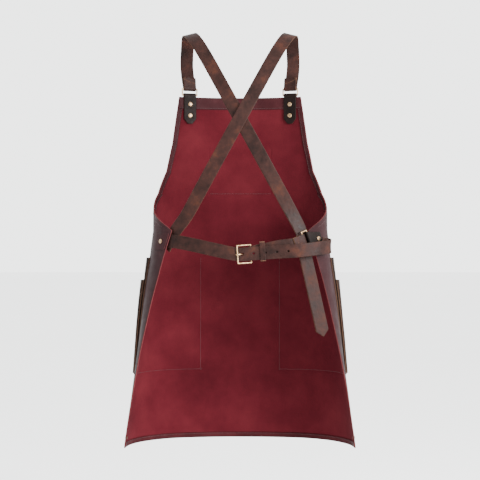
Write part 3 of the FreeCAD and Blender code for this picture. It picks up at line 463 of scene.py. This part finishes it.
TAB_EDGE = raw_edge("tab_raw_edge", (0.018, 0.009, 0.006), (0.048, 0.024, 0.015))
POCKET = grain("pocket_brown", (0.012, 0.006, 0.0045), (0.023, 0.0115, 0.009), (0.042, 0.022, 0.017),
               0.46, 560.0, 12.0)
BRASS = antique_brass("brass_antique", (0.085, 0.048, 0.024), (0.34, 0.225, 0.130), 0.30)
DARK_METAL = antique_brass("brass_dark", (0.025, 0.016, 0.011), (0.10, 0.065, 0.040), 0.42)
RED_THREAD = thread("thread_plum", (0.010, 0.0025, 0.0035), (0.036, 0.0090, 0.0110))
BROWN_THREAD = thread("thread_brown", (0.020, 0.010, 0.006), (0.080, 0.044, 0.028))

# ------------------------------------------------------------------ panel
DENSITY = 1.0
COLUMNS = int(300 * DENSITY)
ROWS = int(380 * DENSITY)


def level(share):
    """The level at that share of the way up from the hem."""
    return mix(HEM, BIB_TOP, share)


def seam_line(value, line, width=1.6):
    """A groove across a stitch line: deepest on it."""
    return math.exp(-((value - line) / width) ** 2)


PRESS_DEPTH = 0.8


def pressed(along, z):
    """Grooves on the inside where the pockets are sewn on from outside."""
    depth = 0.0
    reach = abs(along)
    if POCKET_FLOOR < z < POCKET_MOUTH:
        depth += seam_line(reach, POCKET_START) + seam_line(reach, POCKET_END)
    if POCKET_START < reach < POCKET_END:
        depth += seam_line(z, POCKET_FLOOR)
    if CHEST_FLOOR < z < CHEST_MOUTH:
        depth += 0.8 * seam_line(reach, CHEST_HALF)
    if reach < CHEST_HALF:
        depth += 0.8 * seam_line(z, CHEST_FLOOR)
    return PRESS_DEPTH * depth


def panel_place(i, j, out):
    """The panel's point at those shares across and up, that far outside its inner face."""
    z = level(j)
    here = section(z)
    along = (2 * i - 1) * here.edge
    return here.point(along, out + drape(along, z))


def panel_inner(i, j):
    """How far in the inner face is pressed there."""
    z = level(j)
    return pressed((2 * i - 1) * section(z).edge, z)


points, faces, marks = thick_sheet(COLUMNS, ROWS, panel_place, panel_inner, lambda i, j: THICK)
PANEL_LOOK = [SUEDE, PLUM, RED_EDGE]
panel = new_object("panel_leather_sheet", points, faces, marks, PANEL_LOOK, slot="panel_leather")
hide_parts("front_panel")


# ------------------------------------------------------------------ sewn bands, and the thread along them
def band_width(z):
    """The armhole band's width along the level, so that it is even across the slanting edge."""
    slope = (section(z - 1).edge - section(z + 1).edge) / 2
    return BAND * math.hypot(1, slope)


def facing_piece(name, low, high, start, end, node, columns, rows, leather=FACING):
    """A sewn band inside the panel, with its four sides rolled down to the leather."""
    def place(i, j, out):
        z = mix(low, high, j)
        along = mix(start(z), end(z), i)
        return section(z).point(along, out + drape(along, z))

    def rolled(i, j):
        edge = min(i, 1 - i, j, 1 - j)
        return FACING_OUT - FACING_THICK + 0.45 * (1 - smooth(edge / 0.12))

    across = int(columns * DENSITY) + 4
    up = int(rows * DENSITY) + 4
    cells = thick_sheet(across, up, place, rolled, lambda i, j: FACING_OUT)
    piece = new_object(name, *cells, [leather, leather, RED_EDGE], slot="facing_leather")
    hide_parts(node)


def left_edge(z):
    """How far along the panel's left edge is."""
    return -section(z).edge


def right_edge(z):
    """How far along the panel's right edge is."""
    return section(z).edge


TOP_LOW = BIB_TOP - TOP_BAND
facing_piece("top_band", TOP_LOW, BIB_TOP, left_edge, right_edge, "top_facing", 160, 24)
facing_piece("hem_band", HEM, HEM + BAND, left_edge, right_edge, "bottom_facing", 300, 12, HEM_FACING)
SIDE_LOW = mix(WAIST, BIB_TOP, 0.01)
SIDE_HIGH = TOP_LOW - 0.2
facing_piece("left_armhole_band", SIDE_LOW, SIDE_HIGH, left_edge,
             lambda z: band_width(z) - section(z).edge, "left_side_facing", 12, 200)
facing_piece("right_armhole_band", SIDE_LOW, SIDE_HIGH,
             lambda z: section(z).edge - band_width(z), right_edge, "right_side_facing", 12, 200)


def along_level(z, start, end, out, inward, steps=160):
    """(point, outward) pairs for a seam at one level."""
    run = []
    for k in range(steps + 1):
        along = mix(start, end, k / steps)
        normal = section(z).outward(along) * (-1 if inward else 1)
        run.append((section(z).point(along, out + drape(along, z)), normal))
    return run


def down_line(low, high, where_along, out, inward, steps):
    """(point, outward) pairs for a seam that climbs from low to high."""
    run = []
    for k in range(steps + 1):
        z = mix(low, high, k / steps)
        along = where_along(z)
        normal = section(z).outward(along) * (-1 if inward else 1)
        run.append((section(z).point(along, out + drape(along, z)), normal))
    return run


INSIDE = FACING_OUT - FACING_THICK
SEAM_INSET = 3
TOP_SEAM = TOP_LOW + SEAM_INSET
HEM_SEAM = HEM + 9
PRESSED_SEAM = 0.2
top_end = section(TOP_SEAM).edge - SEAM_INSET
hem_end = section(HEM_SEAM).edge - SEAM_INSET
stitch_run("stitch_top_band", along_level(TOP_SEAM, -top_end, top_end, INSIDE, True), RED_THREAD)
stitch_run("stitch_hem_inside", along_level(HEM_SEAM, -hem_end, hem_end, INSIDE, True, 300), RED_THREAD)
stitch_run("stitch_hem_outside", along_level(HEM_SEAM, -hem_end, hem_end, THICK, False, 300), RED_THREAD)
stitch_run("stitch_top_outside", along_level(TOP_SEAM, -top_end, top_end, THICK, False), RED_THREAD)
for side, sign in (("left", -1), ("right", 1)):
    def line_at(z, s=sign):
        """The armhole's seam, near the band's inner side."""
        return s * (section(z).edge - band_width(z) * 0.78)

    inside_run = down_line(SIDE_LOW + 4, TOP_LOW, line_at, INSIDE, True, 220)
    outside_run = down_line(SIDE_LOW + 4, TOP_LOW, line_at, THICK, False, 220)
    stitch_run("stitch_armhole_in_" + side, inside_run, RED_THREAD)
    stitch_run("stitch_armhole_out_" + side, outside_run, RED_THREAD)
    for number, place in enumerate((POCKET_START + 2.5, POCKET_END - 2.5)):
        upright = down_line(
            POCKET_FLOOR, POCKET_MOUTH, lambda z, p=place, s=sign: s * p, PRESSED_SEAM, True, 120)
        stitch_run("stitch_pocket_in_%s_%d" % (side, number), upright, RED_THREAD)
    ends = sorted((sign * POCKET_START, sign * POCKET_END))
    stitch_run("stitch_pocket_floor_" + side, along_level(
        POCKET_FLOOR + 2.5, ends[0], ends[1], PRESSED_SEAM, True, 100), RED_THREAD)
CHEST_SEAM = CHEST_FLOOR + 3
CHEST_SEAM_END = CHEST_HALF - 2
stitch_run("stitch_chest_in", along_level(
    CHEST_SEAM, -CHEST_SEAM_END, CHEST_SEAM_END, PRESSED_SEAM, True, 60), RED_THREAD)


# ------------------------------------------------------------------ pockets
def bulge(along, start, end):
    """How far a pocket's front stands off: least at its two sides, most between them."""
    return EDGE_GAP + BULGE * math.sin(math.pi * clamp((abs(along) - start) / (end - start)))


SEAM_STEPS = 120
POCKET_SEAM_INSET = 3.2
MOUTH_SEAM_DROP = 7.0
TUCK = 4.0


def pocket(name, node, start, end, low, high, base, gap):
    """A sewn pocket: a bulging front whose sides and floor are rolled back to the leather behind it."""
    near, far = sorted((start, end))

    def place(i, j, out):
        z = mix(low, high, j)
        along = mix(near, far, i)
        return section(z).point(along, out + drape(along, z))

    def back(i, j):
        along = mix(near, far, i)
        rim = min(i, 1 - i) * (far - near)
        floor = j * (high - low)
        tuck = smooth(rim / TUCK) * smooth(floor / TUCK)
        ripple = 0.6 * noise.noise(Vector((along * 0.03, mix(low, high, j) * 0.02, 5.0)))
        return base(along) + POCKET_GAP + (gap(along) + ripple) * tuck

    def front(i, j):
        return back(i, j) + POCKET_THICK

    cells = thick_sheet(int(110 * DENSITY) + 6, int(110 * DENSITY) + 6, place, back, front)
    piece = new_object(name, *cells, [SUEDE_BROWN, POCKET, STRAP_EDGE], slot="pocket_leather")
    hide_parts(node)
    for number, where in enumerate((near + POCKET_SEAM_INSET, far - POCKET_SEAM_INSET)):
        share = (where - near) / (far - near)
        pairs = []
        for k in range(SEAM_STEPS + 1):
            j = mix(0.01, 0.995, k / SEAM_STEPS)
            z = mix(low, high, j)
            normal = section(z).outward(where)
            pairs.append((place(share, j, front(share, j)), normal))
        stitch_run("%s_seam_%d" % (name, number), pairs, BROWN_THREAD)
    floor_seam = POCKET_SEAM_INSET / (high - low)
    mouth_seam = 1 - MOUTH_SEAM_DROP / (high - low)
    for ending, j, z in (("_seam_floor", floor_seam, low), ("_mouth_seam", mouth_seam, high)):
        pairs = []
        for k in range(SEAM_STEPS + 1):
            i = mix(0.02, 0.98, k / SEAM_STEPS)
            pairs.append((place(i, j, front(i, j)), section(z).outward(mix(near, far, i))))
        stitch_run(name + ending, pairs, BROWN_THREAD)


SUEDE_BROWN = raw_edge("pocket_flesh", (0.018, 0.008, 0.006), (0.050, 0.025, 0.017))


def hand_gap(along):
    """The hand pockets' stand-off."""
    return bulge(along, POCKET_START, POCKET_END)


def tool_gap(along):
    """The tool pockets' stand-off from the hand pockets."""
    return bulge(along, TOOL_START, TOOL_END)


def chest_gap(along):
    """The chest pocket's stand-off."""
    return bulge(along + CHEST_HALF, 0.0, 2 * CHEST_HALF)


def on_panel(along):
    """Where the hand and chest pockets start: the panel's outer face."""
    return THICK


def on_hand_pocket(along):
    """Where the tool pockets start: the hand pockets' outer face."""
    return THICK + POCKET_THICK + POCKET_GAP + hand_gap(along)


for side, sign in (("left", -1), ("right", 1)):
    pocket(side + "_hand_pocket_leather", side + "_hand_pocket", sign * POCKET_START, sign * POCKET_END,
           POCKET_FLOOR, POCKET_MOUTH, on_panel, hand_gap)
    pocket(side + "_tool_pocket_leather", side + "_tool_pocket", sign * TOOL_START, sign * TOOL_END,
           POCKET_FLOOR, TOOL_MOUTH, on_hand_pocket, tool_gap)
pocket("chest_pocket_leather", "chest_pocket", -CHEST_HALF, CHEST_HALF, CHEST_FLOOR, CHEST_MOUTH,
       on_panel, chest_gap)


# ------------------------------------------------------------------ pieces that keep the solid's own route
def mesh_of(nodes, bridge=None):
    """One mesh of the solids' faces, in the row frame, with an optional block that joins two of them."""
    points = []
    faces = []
    for node in nodes:
        source = frame["nodes"][node]
        first = len(points)
        points += [source.matrix_world @ v.co for v in source.data.vertices]
        faces += [tuple(first + v for v in p.vertices) for p in source.data.polygons]
    if bridge:
        centre, axes, halves = bridge
        first = len(points)
        for a in (-1, 1):
            for b in (-1, 1):
                for c in (-1, 1):
                    corner = centre + axes[0] * (a * halves[0]) + axes[1] * (b * halves[1])
                    points.append(corner + axes[2] * (c * halves[2]))
        faces += [tuple(first + k for k in quad) for quad in (
            (0, 1, 3, 2), (4, 6, 7, 5), (0, 4, 5, 1), (2, 3, 7, 6), (0, 2, 6, 4), (1, 5, 7, 3))]
    return points, faces


# A face with more leather than this straight behind it is a cut edge.
WALL = 7.0


def skin(name, nodes, voxel, materials, body, relief=0.12, ride=True, bridge=None):
    """Worn leather or cast metal over solids: small even faces, soft edges, fine relief, marked cuts."""
    points, faces = mesh_of(nodes, bridge)
    mesh = bpy.data.meshes.new(name + "_rough")
    mesh.from_pydata([tuple(p) for p in points], [], faces)
    rough = bpy.data.objects.new(name, mesh)
    bpy.context.scene.collection.objects.link(rough)
    remesh = rough.modifiers.new("even", "REMESH")
    remesh.mode = "VOXEL"
    remesh.voxel_size = voxel * MM * (1.6 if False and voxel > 0.8 else 1.0)
    soften = rough.modifiers.new("soften", "SMOOTH")
    soften.factor = 0.5
    soften.iterations = 3
    bpy.context.view_layer.update()
    made = bpy.data.meshes.new_from_object(rough.evaluated_get(bpy.context.evaluated_depsgraph_get()))
    rough.modifiers.clear()
    rough.data = made
    bpy.data.meshes.remove(mesh)
    corners = [v.co.copy() for v in made.vertices]
    polygons = [tuple(p.vertices) for p in made.polygons]
    tree = BVHTree.FromPolygons(corners, polygons)
    marks = []
    for polygon in made.polygons:
        inward = -polygon.normal
        hit = tree.ray_cast(polygon.center + inward * 0.0003, inward)
        cut_edge = len(materials) > 1 and hit[3] is not None and hit[3] > WALL * MM
        marks.append(1 if cut_edge else 0)
    normals = [v.normal.copy() for v in made.vertices]
    for vertex, normal in zip(made.vertices, normals):
        rise = noise.noise(vertex.co * 160.0) + 0.6 * noise.noise(vertex.co * 520.0)
        vertex.co += normal * (rise * relief * MM)
    made.materials.clear()
    for material in materials:
        made.materials.append(material)
    made.polygons.foreach_set("material_index", marks)
    made.polygons.foreach_set("use_smooth", [True] * len(made.polygons))
    made.update()
    if ride:
        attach(rough, body)
    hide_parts(*nodes)
    return rough


STRAP_LOOK = [PULL_UP, STRAP_EDGE]
tail_joint = [j for j in frame["joints"] if j["name"] == "tail_swing"][0]
tail_top = Vector(tail_joint["pos_m"])
tail_across = Vector(tail_joint["axis"]).normalized()
tail_run = TAIL_SLANT.normalized()
tail_face = tail_across.cross(tail_run).normalized()
# A block across the gap between the strap and its free end, which makes them one piece of leather.
block = (STRAP_WIDTH / 2 * MM, 2.4 * MM, STRAP_THICK / 2 * MM)
joined = (tail_top - tail_run * 0.6 * MM, (tail_across, tail_run, tail_face), block)
left_strap = skin("left_strap_leather", ["left_shoulder_strap", "strap_tail"], 0.95, STRAP_LOOK, "apron",
                  ride=False, bridge=joined)
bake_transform(left_strap)
skin("right_strap_leather", ["right_shoulder_strap"], 0.95, STRAP_LOOK, "apron")
skin("belt_leather", ["waist_belt"], 0.95, STRAP_LOOK, "apron")
skin("buckle_strap_leather", ["buckle_strap"], 0.8, STRAP_LOOK, "apron")
skin("keeper_leather", ["belt_keeper"], 0.6, STRAP_LOOK, "keeper", relief=0.08)
TAB_LOOK = [TAB, TAB_EDGE]
for side in ("left", "right"):
    skin(side + "_tab_leather", [side + "_bib_tab"], 0.65, TAB_LOOK, "apron", relief=0.07)
    skin(side + "_tab_studs", [side + "_tab_rivets"], 0.3, [BRASS], "apron", relief=0.02)
skin("hip_tab_leather", ["right_hip_tab"], 0.65, TAB_LOOK, "apron", relief=0.07)
skin("hip_stud", ["right_hip_rivet"], 0.3, [BRASS], "apron", relief=0.02)
skin("left_hip_stud", ["left_hip_rivet"], 0.3, [BRASS], "apron", relief=0.02)
skin("patch_leather", ["left_hip_patch"], 0.45, [PLUM, RED_EDGE], "apron", relief=0.06)
skin("hem_studs", ["hem_rivets"], 0.28, [DARK_METAL], "apron", relief=0.02)
for node, body in (("left_bib_ring", "left_ring"), ("right_bib_ring", "right_ring"), ("hip_ring", "hip_ring"),
                   ("buckle_frame", "buckle"), ("buckle_prong", "prong")):
    skin(node + "_metal", [node], 0.38, [BRASS], body, relief=0.03)

# ------------------------------------------------------------------ flat size of the panel
widest = 0.0
STEPS = 400
for k in range(STEPS):
    here = section(level((k + 0.5) / STEPS))
    widest = max(widest, 2 * here.edge * MM)

# ------------------------------------------------------------------ floor, light and camera
FLOOR = -1.25
REACH = 30
floor_points = [(x * REACH, y * REACH, FLOOR) for x, y in ((-1, -1), (1, -1), (1, 1), (-1, 1))]
pale, tree, shader, where = nodes_of("floor_pale")
paper = ramp(tree, noise_node(tree, where, 0.6), [(0.3, grey(0.86)), (0.7, grey(0.875))])
tree.links.new(paper, shader.inputs["Base Color"])
shader.inputs["Roughness"].default_value = 0.95
floor = new_object("floor", floor_points, [(0, 1, 2, 3)], [0], [pale], body=None)

world = bpy.data.worlds.new("studio")
bpy.context.scene.world = world
world.use_nodes = True
surround = world.node_tree.nodes["Background"]
surround.inputs["Color"].default_value = (0.97, 0.985, 0.98, 1.0)
surround.inputs["Strength"].default_value = 3.5


def soft_light(name, place, aim, power, across):
    """A square lamp, aimed at a point."""
    data = bpy.data.lights.new(name, "AREA")
    data.energy = power
    data.size = across
    obj = bpy.data.objects.new(name, data)
    obj.location = place
    obj.rotation_euler = (Vector(aim) - Vector(place)).to_track_quat("-Z", "Y").to_euler()
    bpy.context.scene.collection.objects.link(obj)


soft_light("key", (2.2, -2.0, 0.3), (0.0, 0.0, -0.6), 335.0, 1.2)

camera = bpy.data.cameras.new("camera")
camera.sensor_width = 36.0
camera.lens = 102.3
view = bpy.data.objects.new("camera", camera)
view.location = (0.0, -3.110, -0.467)
view.rotation_euler = (math.radians(90), 0, 0)
bpy.context.scene.collection.objects.link(view)
bpy.context.scene.camera = view

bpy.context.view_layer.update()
